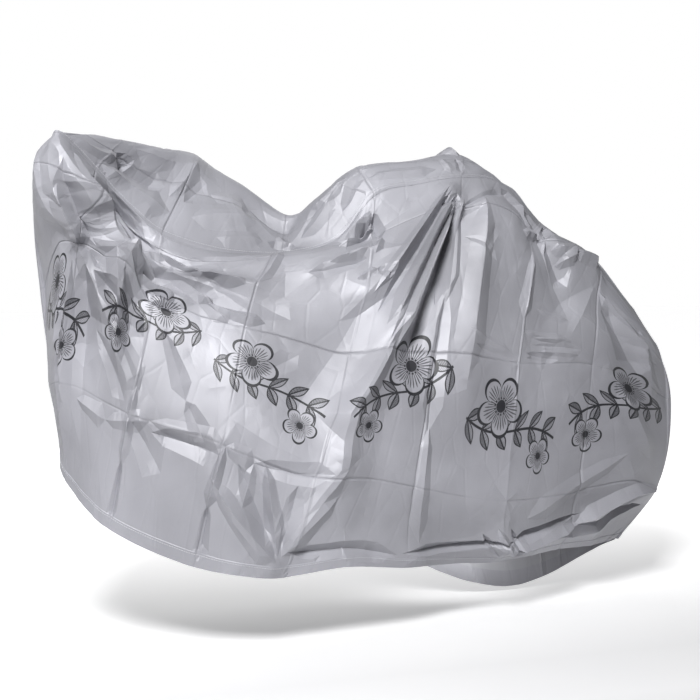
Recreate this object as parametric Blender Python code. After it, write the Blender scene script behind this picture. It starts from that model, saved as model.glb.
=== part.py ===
"""Bicycle cover of thin coated film, in the shape in which it hangs.

Two side panels, each cut 2.10 m long and 1.00 m high, are sewn together over the top and down
both ends. Each panel is one smooth surface through a short table of sections, with its main
folds raised or sunk along the surface's own normal, and is then given the film's thickness.

Metres, +Z up. X runs from the handlebar end (-X) to the rear end (+X), -Y is the near side.
The origin is the point under the film's highest place over the saddle.
"""
import bpy
import numpy as np

# the flat cut of each panel, and the film
PANEL_LENGTH = 2.10
PANEL_HEIGHT = 1.00
FILM_THICKNESS = 0.0022
SEAM_GAP = 0.0005

# how finely each panel is divided along its length and down its height
STEPS_ALONG = 60
STEPS_DOWN = 30

# no fold reaches the sewn edges: it fades out over this much of the sheet
FADE_AT_SEAM = 0.035

# how far down the sheet from the sewn top edge each level of a section lies
NEAR_LEVELS = {"seam": 0.00, "shoulder": 0.10, "flank": 0.25, "belly": 0.46, "skirt": 0.80,
               "hem": 1.00}
FAR_LEVELS = {"seam": 0.00, "rise": 0.10, "crown": 0.20, "belly": 0.46, "skirt": 0.80,
              "hem": 1.00}

# the sewn front end and rear end, which both panels share
FRONT_END = dict(at=0.00, seam=(-1.09, -0.12, -0.03), shoulder=(-1.11, -0.10, -0.11),
                 flank=(-1.12, -0.06, -0.18), belly=(-1.10, -0.01, -0.35),
                 skirt=(-1.07, 0.02, -0.57), hem=(-1.06, 0.02, -0.67))
REAR_END = dict(at=2.10, seam=(0.57, 0.07, -0.41), shoulder=(0.63, 0.06, -0.51),
                flank=(0.66, 0.06, -0.56), belly=(0.69, 0.06, -0.67),
                skirt=(0.64, 0.06, -0.93), hem=(0.52, 0.06, -1.06))

# the near panel: where the sheet hangs at each distance along it, level by level
NEAR_SECTIONS = [
    FRONT_END,
    dict(at=0.13, seam=(-1.08, -0.16, 0.01), shoulder=(-1.105, -0.18, -0.06),
         flank=(-1.125, -0.17, -0.15), belly=(-1.09, -0.15, -0.25),
         skirt=(-1.08, -0.07, -0.57), hem=(-1.06, -0.03, -0.73)),
    dict(at=0.26, seam=(-0.99, -0.12, -0.07), shoulder=(-1.02, -0.18, -0.12),
         flank=(-1.03, -0.19, -0.18), belly=(-1.04, -0.17, -0.24),
         skirt=(-1.07, -0.12, -0.56), hem=(-1.06, -0.07, -0.79)),
    dict(at=0.39, seam=(-0.93, -0.09, -0.13), shoulder=(-0.91, -0.03, -0.16),
         flank=(-0.94, -0.12, -0.21), belly=(-0.96, -0.18, -0.28),
         skirt=(-1.00, -0.17, -0.59), hem=(-1.02, -0.12, -0.86)),
    dict(at=0.53, seam=(-0.82, -0.08, -0.22), shoulder=(-0.83, -0.10, -0.26),
         flank=(-0.84, -0.13, -0.30), belly=(-0.86, -0.18, -0.36),
         skirt=(-0.93, -0.21, -0.63), hem=(-0.98, -0.17, -0.90)),
    dict(at=0.79, seam=(-0.51, -0.06, -0.26), shoulder=(-0.56, -0.12, -0.28),
         flank=(-0.61, -0.16, -0.34), belly=(-0.66, -0.22, -0.44),
         skirt=(-0.73, -0.28, -0.70), hem=(-0.80, -0.28, -0.98)),
    dict(at=0.93, seam=(-0.37, -0.07, -0.22), shoulder=(-0.40, -0.13, -0.24),
         flank=(-0.47, -0.18, -0.33), belly=(-0.54, -0.25, -0.46),
         skirt=(-0.63, -0.33, -0.75), hem=(-0.70, -0.33, -1.00)),
    dict(at=1.05, seam=(-0.28, -0.08, -0.11), shoulder=(-0.30, -0.12, -0.20),
         flank=(-0.34, -0.20, -0.31), belly=(-0.41, -0.28, -0.49),
         skirt=(-0.53, -0.35, -0.78), hem=(-0.60, -0.35, -1.01)),
    dict(at=1.18, seam=(-0.16, -0.07, -0.08), shoulder=(-0.17, -0.11, -0.16),
         flank=(-0.22, -0.18, -0.29), belly=(-0.30, -0.27, -0.49),
         skirt=(-0.40, -0.34, -0.79), hem=(-0.44, -0.33, -1.00)),
    dict(at=1.31, seam=(-0.03, -0.06, -0.06), shoulder=(-0.06, -0.10, -0.14),
         flank=(-0.10, -0.16, -0.26), belly=(-0.18, -0.25, -0.50),
         skirt=(-0.27, -0.30, -0.82), hem=(-0.28, -0.28, -1.02)),
    dict(at=1.44, seam=(0.11, -0.01, -0.07), shoulder=(0.08, -0.07, -0.13),
         flank=(0.02, -0.14, -0.29), belly=(-0.05, -0.22, -0.52),
         skirt=(-0.14, -0.27, -0.85), hem=(-0.14, -0.21, -1.03)),
    dict(at=1.58, seam=(0.26, 0.04, -0.18), shoulder=(0.20, -0.04, -0.20),
         flank=(0.13, -0.12, -0.35), belly=(0.07, -0.19, -0.54),
         skirt=(0.00, -0.24, -0.87), hem=(0.03, -0.15, -1.04)),
    dict(at=1.84, seam=(0.44, 0.05, -0.28), shoulder=(0.41, -0.02, -0.30),
         flank=(0.38, -0.08, -0.40), belly=(0.34, -0.13, -0.55),
         skirt=(0.27, -0.16, -0.88), hem=(0.28, -0.06, -1.06)),
    dict(at=1.98, seam=(0.52, 0.05, -0.37), shoulder=(0.55, 0.00, -0.45),
         flank=(0.55, -0.03, -0.49), belly=(0.52, -0.06, -0.60),
         skirt=(0.47, -0.08, -0.87), hem=(0.42, -0.01, -1.06)),
    REAR_END,
]

# the far panel: it rises from the sewn edge to the crown that shows as the outline,
# and falls down the far side
FAR_SECTIONS = [
    dict(at=0.13, seam=(-1.08, -0.16, 0.01), rise=(-1.05, -0.11, 0.005),
         crown=(-1.00, -0.06, 0.00), belly=(-1.00, 0.02, -0.20),
         skirt=(-0.99, 0.08, -0.55), hem=(-0.99, 0.09, -0.72)),
    dict(at=0.26, seam=(-0.99, -0.12, -0.07), rise=(-0.95, -0.06, -0.03),
         crown=(-0.90, 0.02, -0.005), belly=(-0.90, 0.13, -0.22),
         skirt=(-0.89, 0.17, -0.58), hem=(-0.90, 0.17, -0.78)),
    dict(at=0.39, seam=(-0.93, -0.09, -0.13), rise=(-0.87, 0.01, -0.07),
         crown=(-0.80, 0.10, -0.01), belly=(-0.79, 0.21, -0.23),
         skirt=(-0.78, 0.24, -0.62), hem=(-0.80, 0.24, -0.84)),
    dict(at=0.53, seam=(-0.82, -0.08, -0.22), rise=(-0.74, 0.06, -0.12),
         crown=(-0.67, 0.20, -0.02), belly=(-0.66, 0.28, -0.25),
         skirt=(-0.64, 0.31, -0.65), hem=(-0.67, 0.31, -0.90)),
    dict(at=0.66, seam=(-0.67, -0.07, -0.26), rise=(-0.62, 0.04, -0.16),
         crown=(-0.56, 0.15, -0.08), belly=(-0.53, 0.26, -0.32),
         skirt=(-0.52, 0.31, -0.70), hem=(-0.54, 0.31, -0.95)),
    dict(at=0.79, seam=(-0.51, -0.06, -0.26), rise=(-0.49, 0.00, -0.21),
         crown=(-0.46, 0.07, -0.16), belly=(-0.41, 0.20, -0.39),
         skirt=(-0.40, 0.28, -0.75), hem=(-0.41, 0.29, -0.99)),
    dict(at=0.93, seam=(-0.37, -0.07, -0.22), rise=(-0.39, -0.02, -0.17),
         crown=(-0.39, 0.04, -0.12), belly=(-0.29, 0.17, -0.40),
         skirt=(-0.26, 0.26, -0.78), hem=(-0.28, 0.29, -1.02)),
    dict(at=1.05, seam=(-0.28, -0.08, -0.11), rise=(-0.29, -0.03, -0.07),
         crown=(-0.30, 0.02, -0.05), belly=(-0.20, 0.16, -0.38),
         skirt=(-0.15, 0.25, -0.79), hem=(-0.17, 0.22, -1.05)),
    dict(at=1.18, seam=(-0.16, -0.07, -0.08), rise=(-0.16, -0.03, -0.04),
         crown=(-0.15, 0.02, -0.03), belly=(-0.08, 0.16, -0.37),
         skirt=(-0.03, 0.24, -0.79), hem=(-0.06, 0.13, -1.10)),
    dict(at=1.31, seam=(-0.03, -0.06, -0.06), rise=(-0.01, -0.03, -0.02),
         crown=(0.00, 0.01, -0.003), belly=(0.04, 0.15, -0.38),
         skirt=(0.09, 0.23, -0.80), hem=(0.06, 0.08, -1.15)),
    dict(at=1.44, seam=(0.11, -0.01, -0.07), rise=(0.13, 0.02, -0.07),
         crown=(0.15, 0.06, -0.10), belly=(0.17, 0.16, -0.42),
         skirt=(0.20, 0.22, -0.82), hem=(0.18, 0.08, -1.175)),
    dict(at=1.58, seam=(0.26, 0.04, -0.18), rise=(0.27, 0.07, -0.19),
         crown=(0.28, 0.11, -0.23), belly=(0.30, 0.18, -0.48),
         skirt=(0.33, 0.22, -0.84), hem=(0.30, 0.10, -1.16)),
    dict(at=1.84, seam=(0.44, 0.05, -0.28), rise=(0.46, 0.10, -0.31),
         crown=(0.48, 0.14, -0.36), belly=(0.51, 0.18, -0.55),
         skirt=(0.52, 0.19, -0.86), hem=(0.46, 0.09, -1.09)),
    dict(at=1.98, seam=(0.52, 0.05, -0.37), rise=(0.56, 0.09, -0.42),
         crown=(0.59, 0.12, -0.47), belly=(0.62, 0.14, -0.61),
         skirt=(0.60, 0.14, -0.88), hem=(0.52, 0.09, -1.07)),
]

# main folds: where each starts and ends on the flat sheet, its height along the normal
# (below zero is a trough) and its half width
NEAR_FOLDS = [
    # creases that meet in the puckered star below the near grip
    dict(start=(0.15, 0.05), end=(0.28, 0.15), height=0.018, width=0.038),
    dict(start=(0.28, 0.15), end=(0.41, 0.40), height=0.024, width=0.036),
    dict(start=(0.09, 0.07), end=(0.23, 0.46), height=0.014, width=0.034),
    dict(start=(0.35, 0.12), end=(0.47, 0.20), height=-0.022, width=0.050),
    dict(start=(0.41, 0.40), end=(0.60, 0.43), height=0.016, width=0.036),
    dict(start=(0.41, 0.42), end=(0.43, 0.68), height=0.018, width=0.036),
    dict(start=(0.30, 0.45), end=(0.33, 0.76), height=-0.018, width=0.045),
    dict(start=(0.48, 0.22), end=(0.64, 0.20), height=0.014, width=0.034),
    dict(start=(0.64, 0.20), end=(0.78, 0.28), height=0.014, width=0.034),
    dict(start=(0.54, 0.20), end=(0.47, 0.66), height=-0.016, width=0.045),
    # the loose corner beside the saddle
    dict(start=(0.96, 0.06), end=(1.04, 0.11), height=-0.026, width=0.038),
    dict(start=(1.04, 0.17), end=(0.93, 0.21), height=0.018, width=0.032),
    # folds that fan out from the saddle and run on to the hem
    dict(start=(1.27, 0.05), end=(1.06, 0.30), height=0.020, width=0.034),
    dict(start=(1.29, 0.10), end=(1.17, 0.38), height=0.024, width=0.034),
    dict(start=(1.33, 0.14), end=(1.24, 0.46), height=-0.024, width=0.038),
    dict(start=(1.18, 0.38), end=(1.08, 0.64), height=0.026, width=0.040),
    dict(start=(1.08, 0.64), end=(1.10, 0.78), height=0.020, width=0.040),
    dict(start=(1.10, 0.78), end=(1.01, 0.96), height=0.020, width=0.040),
    dict(start=(1.04, 0.36), end=(0.96, 0.66), height=-0.018, width=0.055),
    dict(start=(1.38, 0.12), end=(1.40, 0.54), height=0.014, width=0.045),
    dict(start=(1.20, 0.62), end=(1.20, 0.90), height=-0.014, width=0.050),
    # creases that gather at the hem
    dict(start=(0.80, 0.88), end=(1.00, 0.98), height=0.016, width=0.036),
    dict(start=(0.88, 0.80), end=(1.00, 0.95), height=-0.018, width=0.038),
    # behind the saddle, over the rack and round the rear end
    dict(start=(1.44, 0.06), end=(1.57, 0.13), height=-0.018, width=0.036),
    dict(start=(1.60, 0.13), end=(1.72, 0.26), height=-0.022, width=0.040),
    dict(start=(1.66, 0.13), end=(1.80, 0.12), height=0.014, width=0.034),
    dict(start=(1.88, 0.22), end=(1.97, 0.50), height=-0.016, width=0.050),
    # the rear hem, rolled under
    dict(start=(2.05, 0.82), end=(1.91, 0.92), height=0.016, width=0.034),
    dict(start=(1.91, 0.92), end=(1.58, 0.94), height=0.020, width=0.036),
    dict(start=(1.58, 0.94), end=(1.34, 0.97), height=0.012, width=0.034),
]
FAR_FOLDS = [
    # drapes below the far grip
    dict(start=(0.52, 0.34), end=(0.50, 0.84), height=0.024, width=0.045),
    dict(start=(0.42, 0.30), end=(0.36, 0.86), height=-0.022, width=0.050),
    dict(start=(0.61, 0.30), end=(0.67, 0.88), height=-0.024, width=0.050),
    dict(start=(0.28, 0.30), end=(0.22, 0.80), height=0.018, width=0.045),
    # the creased slope above the sewn edge
    dict(start=(0.57, 0.06), end=(0.72, 0.11), height=0.016, width=0.034),
    dict(start=(0.51, 0.11), end=(0.54, 0.17), height=0.012, width=0.034),
    dict(start=(0.71, 0.13), end=(0.80, 0.14), height=-0.016, width=0.034),
    dict(start=(0.90, 0.14), end=(1.00, 0.12), height=0.010, width=0.034),
    # folds that fan out from the saddle
    dict(start=(1.28, 0.28), end=(1.12, 0.74), height=0.022, width=0.042),
    dict(start=(1.34, 0.28), end=(1.35, 0.80), height=-0.020, width=0.045),
    dict(start=(1.40, 0.28), end=(1.58, 0.70), height=0.020, width=0.042),
    dict(start=(1.00, 0.32), end=(0.86, 0.84), height=0.020, width=0.050),
    # round the rear end and along the hem
    dict(start=(1.74, 0.28), end=(1.80, 0.76), height=-0.016, width=0.050),
    dict(start=(1.93, 0.32), end=(1.96, 0.62), height=0.014, width=0.045),
    dict(start=(1.24, 0.90), end=(1.82, 0.92), height=0.016, width=0.038),
]

FILM_COLOUR = (0.40, 0.40, 0.43, 1.0)
FILM_ROUGHNESS = 0.38
FILM_METALLIC = 0.35


def clear_scene():
    for old in list(bpy.data.objects):
        bpy.data.objects.remove(old, do_unlink=True)


def through(knots, points, at):
    """A smooth curve through points at uneven knots: each span is a cubic whose end slopes are
    the distance-weighted mean of the slopes on the two sides."""
    spans = np.diff(knots)
    slopes = np.diff(points, axis=0) / spans[:, None]
    tangents = np.empty_like(points)
    before, after = spans[:-1, None], spans[1:, None]
    tangents[1:-1] = (slopes[:-1] * after + slopes[1:] * before) / (before + after)
    tangents[0], tangents[-1] = slopes[0], slopes[-1]
    span = np.clip(np.searchsorted(knots, at, side="right") - 1, 0, len(spans) - 1)
    width = spans[span][:, None]
    u = (at - knots[span])[:, None] / width
    start = (1 + 2 * u) * (1 - u) ** 2 * points[span] + u * (1 - u) ** 2 * width * tangents[span]
    end = u * u * (3 - 2 * u) * points[span + 1] - u * u * (1 - u) * width * tangents[span + 1]
    return start + end


def level_knots(levels):
    return np.array(list(levels.values())) * PANEL_HEIGHT


def far_end(end_section):
    """A shared sewn end, read at the far panel's own levels."""
    places = np.array([end_section[name] for name in NEAR_LEVELS])
    at_far_levels = through(level_knots(NEAR_LEVELS), places, level_knots(FAR_LEVELS))
    return dict(zip(FAR_LEVELS, at_far_levels), at=end_section["at"])


def net(sections, levels, along, down):
    """The panel without folds: every level is a smooth curve along the sheet, and the levels are
    joined by smooth curves down the sheet. Rows run down, columns run along."""
    knots = np.array([row["at"] for row in sections])
    curves = [through(knots, np.array([row[name] for row in sections]), along) for name in levels]
    flat = through(level_knots(levels), np.stack(curves).reshape(len(levels), -1), down)
    return flat.reshape(len(down), len(along), 3)


def normals_of(grid, side):
    """Unit normals of a grid surface, pointing out on the given side (-1 near, 1 far)."""
    across = np.gradient(grid, axis=1)
    downward = np.gradient(grid, axis=0)
    normal = side * np.cross(across, downward)
    return normal / np.maximum(np.linalg.norm(normal, axis=2, keepdims=True), 1e-9)


def fold_heights(folds, along, down):
    """How far the folds lift each point: each is a bell across its line that fades out over its
    two ends, and all of them fade out at the sewn edges."""
    s, t = np.meshgrid(along, down)
    lift = np.zeros_like(s)
    for fold in folds:
        start, end = np.array(fold["start"]), np.array(fold["end"])
        length = np.linalg.norm(end - start)
        run = (end - start) / length
        u = ((s - start[0]) * run[0] + (t - start[1]) * run[1]) / length
        aside = -(s - start[0]) * run[1] + (t - start[1]) * run[0]
        beyond = np.maximum(np.maximum(-u, u - 1), 0) * length
        lift += fold["height"] * np.exp(-(aside ** 2 + beyond ** 2) / fold["width"] ** 2)
    edge = np.minimum(np.minimum(s, PANEL_LENGTH - s), t) / FADE_AT_SEAM
    return lift * np.clip(edge, 0, 1)


def folded(plain, folds, side, along, down):
    return plain + normals_of(plain, side) * fold_heights(folds, along, down)[..., None]


def panel_surfaces(along, down):
    """Both panels with their folds. The far panel takes its sewn edges from the near one."""
    near = net(NEAR_SECTIONS, NEAR_LEVELS, along, down)
    far_sections = [far_end(FRONT_END), *FAR_SECTIONS, far_end(REAR_END)]
    far = net(far_sections, FAR_LEVELS, along, down)
    far[0], far[:, 0], far[:, -1] = near[0], near[:, 0], near[:, -1]
    return folded(near, NEAR_FOLDS, -1, along, down), folded(far, FAR_FOLDS, 1, along, down)


def unit(vectors):
    return vectors / np.linalg.norm(vectors, axis=-1, keepdims=True)


def sew(near, far, near_normals, far_normals):
    """Both panels get the same normal along the sewn edges, so that their cut faces lie side by
    side, and each draws back by half the gap. At a top corner, where the two panels lie folded
    on each other, the normal is the mean of its two neighbours' normals."""
    top, front, rear = np.s_[0, :], np.s_[:, 0], np.s_[:, -1]
    for edge, turn in ((top, -1), (front, 1), (rear, -1)):
        inside = np.s_[1:-1] if edge is top else np.s_[1:]
        shared = unit(near_normals[edge][inside] + far_normals[edge][inside])
        back = unit(np.cross(shared, np.gradient(near[edge], axis=0)[inside])) * turn
        near_normals[edge][inside] = shared
        far_normals[edge][inside] = shared
        near[edge][inside] += back * SEAM_GAP / 2
        far[edge][inside] -= back * SEAM_GAP / 2
    for corner, beside, below in (((0, 0), (0, 1), (1, 0)), ((0, -1), (0, -2), (1, -1))):
        shared = unit(near_normals[beside] + near_normals[below])
        near_normals[corner] = shared
        far_normals[corner] = shared
        back = unit(near[beside] - far[beside] + near[below] - far[below])
        near[corner] += back * SEAM_GAP / 2
        far[corner] -= back * SEAM_GAP / 2


def film_solid(name, grid, normals, side, material):
    """The sheet with its thickness: an outer and an inner copy of the grid, joined all round."""
    half = FILM_THICKNESS / 2
    rows, columns = grid.shape[:2]
    outer = (grid + normals * half).reshape(-1, 3)
    inner = (grid - normals * half).reshape(-1, 3)
    count = rows * columns
    index = np.arange(count).reshape(rows, columns)
    a, b = index[:-1, :-1].ravel(), index[:-1, 1:].ravel()
    c, d = index[1:, 1:].ravel(), index[1:, :-1].ravel()
    outer_faces = np.concatenate([np.stack([a, d, c], axis=1), np.stack([a, c, b], axis=1)])
    inner_faces = outer_faces[:, ::-1] + count
    ring = np.concatenate([index[0, :-1], index[:-1, -1], index[-1, :0:-1], index[:0:-1, 0]])
    after = np.roll(ring, -1)
    rim_faces = np.concatenate([np.stack([ring, after, after + count], axis=1),
                                np.stack([ring, after + count, ring + count], axis=1)])
    faces = np.concatenate([outer_faces, inner_faces, rim_faces])
    if side > 0:
        faces = faces[:, ::-1]
    mesh = bpy.data.meshes.new(name)
    mesh.from_pydata(np.concatenate([outer, inner]).tolist(), [], faces.tolist())
    mesh.validate()
    mesh.shade_smooth()
    mesh.materials.append(material)
    panel = bpy.data.objects.new(name, mesh)
    bpy.context.scene.collection.objects.link(panel)
    return panel


def film_material():
    material = bpy.data.materials.new("silver_film")
    material.use_nodes = True
    shader = material.node_tree.nodes["Principled BSDF"]
    shader.inputs["Base Color"].default_value = FILM_COLOUR
    shader.inputs["Roughness"].default_value = FILM_ROUGHNESS
    shader.inputs["Metallic"].default_value = FILM_METALLIC
    return material


def build_cover():
    along = np.linspace(0, PANEL_LENGTH, STEPS_ALONG + 1)
    down = np.linspace(0, PANEL_HEIGHT, STEPS_DOWN + 1)
    near, far = panel_surfaces(along, down)
    near_normals, far_normals = normals_of(near, -1), normals_of(far, 1)
    sew(near, far, near_normals, far_normals)
    film = film_material()
    film_solid("panel_near", near, near_normals, -1, film)
    film_solid("panel_far", far, far_normals, 1, film)


clear_scene()
build_cover()
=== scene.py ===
# %% [markdown]
# # A bicycle cover of thin silver film, as it hangs
# The cover is two flat sheets of pearly film sewn together over the top and down both ends.
# It has no shape of its own: every form in it is the film hanging from a few high points, or
# a crease that was pressed into it when it was packed.
# It could be draped by a cloth simulation, but then the folds would fall where they like.
# Here each sheet is a surface worked out with numpy on its own flat cut, so every fold and
# crease can be put where it is on the real cover.

# %% Load the frame
import math

import bpy
import numpy as np
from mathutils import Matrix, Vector
from mathutils.geometry import delaunay_2d_cdt


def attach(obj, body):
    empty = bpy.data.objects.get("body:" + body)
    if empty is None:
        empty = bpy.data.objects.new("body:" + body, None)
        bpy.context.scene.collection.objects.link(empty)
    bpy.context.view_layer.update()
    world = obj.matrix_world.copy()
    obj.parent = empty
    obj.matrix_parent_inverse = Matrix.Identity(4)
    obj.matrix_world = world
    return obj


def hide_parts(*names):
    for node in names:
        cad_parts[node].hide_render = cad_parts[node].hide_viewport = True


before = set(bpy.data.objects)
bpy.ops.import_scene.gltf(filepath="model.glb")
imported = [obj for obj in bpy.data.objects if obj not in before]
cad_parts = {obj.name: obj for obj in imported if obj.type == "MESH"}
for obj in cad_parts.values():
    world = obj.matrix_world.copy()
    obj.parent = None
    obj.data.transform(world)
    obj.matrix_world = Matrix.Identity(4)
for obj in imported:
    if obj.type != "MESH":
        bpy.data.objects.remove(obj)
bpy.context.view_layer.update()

print("nodes in the frame:", sorted(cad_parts))

# %% [markdown]
# ## The flat cut and how it hangs
# A maker cuts two rectangles of film. A place on the sheet is s metres from the front end and
# t metres down from the sewn top edge, and everything below is written in s and t.
# The big form could be sculpted, but a table of sections is easier to read and to change:
# each row says where the sheet hangs at one distance along it, level by level.

# %% The flat cut of each sheet, and the film
PANEL_LENGTH = 2.10
PANEL_HEIGHT = 1.00
FILM_THICKNESS = 0.0008
FADE_AT_SEAM = 0.035
FINE_FADE_AT_SEAM = 0.010

# %% Where each sheet hangs
# how far down the sheet from the sewn top edge each level of a section lies
NEAR_LEVELS = {"seam": 0.00, "shoulder": 0.10, "flank": 0.25, "belly": 0.46, "skirt": 0.80,
               "hem": 1.00}
FAR_LEVELS = {"seam": 0.00, "rise": 0.10, "crown": 0.20, "belly": 0.46, "skirt": 0.80,
              "hem": 1.00}

# the sewn front end and rear end, which both panels share
FRONT_END = dict(at=0.00, seam=(-1.09, -0.12, -0.03), shoulder=(-1.11, -0.10, -0.11),
                 flank=(-1.12, -0.06, -0.18), belly=(-1.10, -0.01, -0.35),
                 skirt=(-1.07, 0.02, -0.57), hem=(-1.06, 0.02, -0.67))
REAR_END = dict(at=2.10, seam=(0.57, 0.07, -0.41), shoulder=(0.63, 0.06, -0.51),
                flank=(0.66, 0.06, -0.56), belly=(0.69, 0.06, -0.67),
                skirt=(0.64, 0.06, -0.93), hem=(0.52, 0.06, -1.06))


def sections(levels, rows):
    """Rows of a table as dictionaries: the distance along the sheet, then where it hangs at each
    of its levels."""
    return [dict(zip(["at", *levels], row)) for row in rows]


# the near panel: where the sheet hangs at each distance along it, level by level
NEAR_SECTIONS = [FRONT_END, *sections(NEAR_LEVELS, [
    (0.13, (-1.08, -0.16, 0.01), (-1.105, -0.18, -0.06), (-1.125, -0.17, -0.15),
     (-1.09, -0.15, -0.25), (-1.08, -0.07, -0.57), (-1.06, -0.03, -0.73)),
    (0.26, (-0.99, -0.12, -0.07), (-1.02, -0.18, -0.12), (-1.03, -0.19, -0.18),
     (-1.04, -0.17, -0.24), (-1.07, -0.12, -0.56), (-1.06, -0.07, -0.79)),
    (0.39, (-0.93, -0.09, -0.13), (-0.91, -0.03, -0.16), (-0.94, -0.12, -0.21),
     (-0.96, -0.18, -0.28), (-1.00, -0.17, -0.59), (-1.02, -0.12, -0.86)),
    (0.53, (-0.82, -0.08, -0.22), (-0.83, -0.10, -0.26), (-0.84, -0.13, -0.30),
     (-0.86, -0.18, -0.36), (-0.93, -0.21, -0.63), (-0.98, -0.17, -0.90)),
    (0.79, (-0.51, -0.06, -0.26), (-0.56, -0.12, -0.28), (-0.61, -0.16, -0.34),
     (-0.66, -0.22, -0.44), (-0.73, -0.28, -0.70), (-0.80, -0.28, -0.98)),
    (0.93, (-0.37, -0.07, -0.22), (-0.40, -0.13, -0.24), (-0.47, -0.18, -0.33),
     (-0.54, -0.25, -0.46), (-0.63, -0.33, -0.75), (-0.70, -0.33, -1.00)),
    (1.05, (-0.28, -0.08, -0.11), (-0.30, -0.12, -0.20), (-0.34, -0.20, -0.31),
     (-0.41, -0.28, -0.49), (-0.53, -0.35, -0.78), (-0.60, -0.35, -1.01)),
    (1.18, (-0.16, -0.07, -0.08), (-0.17, -0.11, -0.16), (-0.22, -0.18, -0.29),
     (-0.30, -0.27, -0.49), (-0.40, -0.34, -0.79), (-0.44, -0.33, -1.00)),
    (1.31, (-0.03, -0.06, -0.06), (-0.06, -0.10, -0.14), (-0.10, -0.16, -0.26),
     (-0.18, -0.25, -0.50), (-0.27, -0.30, -0.82), (-0.28, -0.28, -1.02)),
    (1.44, (0.11, -0.01, -0.07), (0.08, -0.07, -0.13), (0.02, -0.14, -0.29),
     (-0.05, -0.22, -0.52), (-0.14, -0.27, -0.85), (-0.14, -0.21, -1.03)),
    (1.58, (0.26, 0.04, -0.18), (0.20, -0.04, -0.20), (0.13, -0.12, -0.35),
     (0.07, -0.19, -0.54), (0.00, -0.24, -0.87), (0.03, -0.15, -1.04)),
    (1.84, (0.44, 0.05, -0.28), (0.41, -0.02, -0.30), (0.38, -0.08, -0.40),
     (0.34, -0.13, -0.55), (0.27, -0.16, -0.88), (0.28, -0.06, -1.06)),
    (1.98, (0.52, 0.05, -0.37), (0.55, 0.00, -0.45), (0.55, -0.03, -0.49),
     (0.52, -0.06, -0.60), (0.47, -0.08, -0.87), (0.42, -0.01, -1.06)),
]), REAR_END]

# the far panel: it rises from the sewn edge to the crown that shows as the outline,
# and falls down the far side
FAR_SECTIONS = sections(FAR_LEVELS, [
    (0.13, (-1.08, -0.16, 0.01), (-1.05, -0.11, 0.005), (-1.00, -0.06, 0.00),
     (-1.00, 0.02, -0.20), (-0.99, 0.08, -0.55), (-0.99, 0.09, -0.72)),
    (0.26, (-0.99, -0.12, -0.07), (-0.95, -0.06, -0.03), (-0.90, 0.02, -0.005),
     (-0.90, 0.13, -0.22), (-0.89, 0.17, -0.58), (-0.90, 0.17, -0.78)),
    (0.39, (-0.93, -0.09, -0.13), (-0.87, 0.01, -0.07), (-0.80, 0.10, -0.01),
     (-0.79, 0.21, -0.23), (-0.78, 0.24, -0.62), (-0.80, 0.24, -0.84)),
    (0.53, (-0.82, -0.08, -0.22), (-0.74, 0.06, -0.12), (-0.67, 0.20, -0.02),
     (-0.66, 0.28, -0.25), (-0.64, 0.31, -0.65), (-0.67, 0.31, -0.90)),
    (0.66, (-0.67, -0.07, -0.26), (-0.62, 0.04, -0.16), (-0.56, 0.15, -0.08),
     (-0.53, 0.26, -0.32), (-0.52, 0.31, -0.70), (-0.54, 0.31, -0.95)),
    (0.79, (-0.51, -0.06, -0.26), (-0.49, 0.00, -0.21), (-0.46, 0.07, -0.16),
     (-0.41, 0.20, -0.39), (-0.40, 0.28, -0.75), (-0.41, 0.29, -0.99)),
    (0.93, (-0.37, -0.07, -0.22), (-0.39, -0.02, -0.17), (-0.39, 0.04, -0.12),
     (-0.29, 0.17, -0.40), (-0.26, 0.26, -0.78), (-0.28, 0.29, -1.02)),
    (1.05, (-0.28, -0.08, -0.11), (-0.29, -0.03, -0.07), (-0.30, 0.02, -0.05),
     (-0.20, 0.16, -0.38), (-0.15, 0.25, -0.79), (-0.17, 0.22, -1.05)),
    (1.18, (-0.16, -0.07, -0.08), (-0.16, -0.03, -0.04), (-0.15, 0.02, -0.03),
     (-0.08, 0.16, -0.37), (-0.03, 0.24, -0.79), (-0.06, 0.13, -1.10)),
    (1.31, (-0.03, -0.06, -0.06), (-0.01, -0.03, -0.02), (0.00, 0.01, -0.003),
     (0.04, 0.15, -0.38), (0.09, 0.23, -0.80), (0.06, 0.08, -1.15)),
    (1.44, (0.11, -0.01, -0.07), (0.13, 0.02, -0.07), (0.15, 0.06, -0.10),
     (0.17, 0.16, -0.42), (0.20, 0.22, -0.82), (0.18, 0.08, -1.175)),
    (1.58, (0.26, 0.04, -0.18), (0.27, 0.07, -0.19), (0.28, 0.11, -0.23),
     (0.30, 0.18, -0.48), (0.33, 0.22, -0.84), (0.30, 0.10, -1.16)),
    (1.84, (0.44, 0.05, -0.28), (0.46, 0.10, -0.31), (0.48, 0.14, -0.36),
     (0.51, 0.18, -0.55), (0.52, 0.19, -0.86), (0.46, 0.09, -1.09)),
    (1.98, (0.52, 0.05, -0.37), (0.56, 0.09, -0.42), (0.59, 0.12, -0.47),
     (0.62, 0.14, -0.61), (0.60, 0.14, -0.88), (0.52, 0.09, -1.07)),
])


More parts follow.
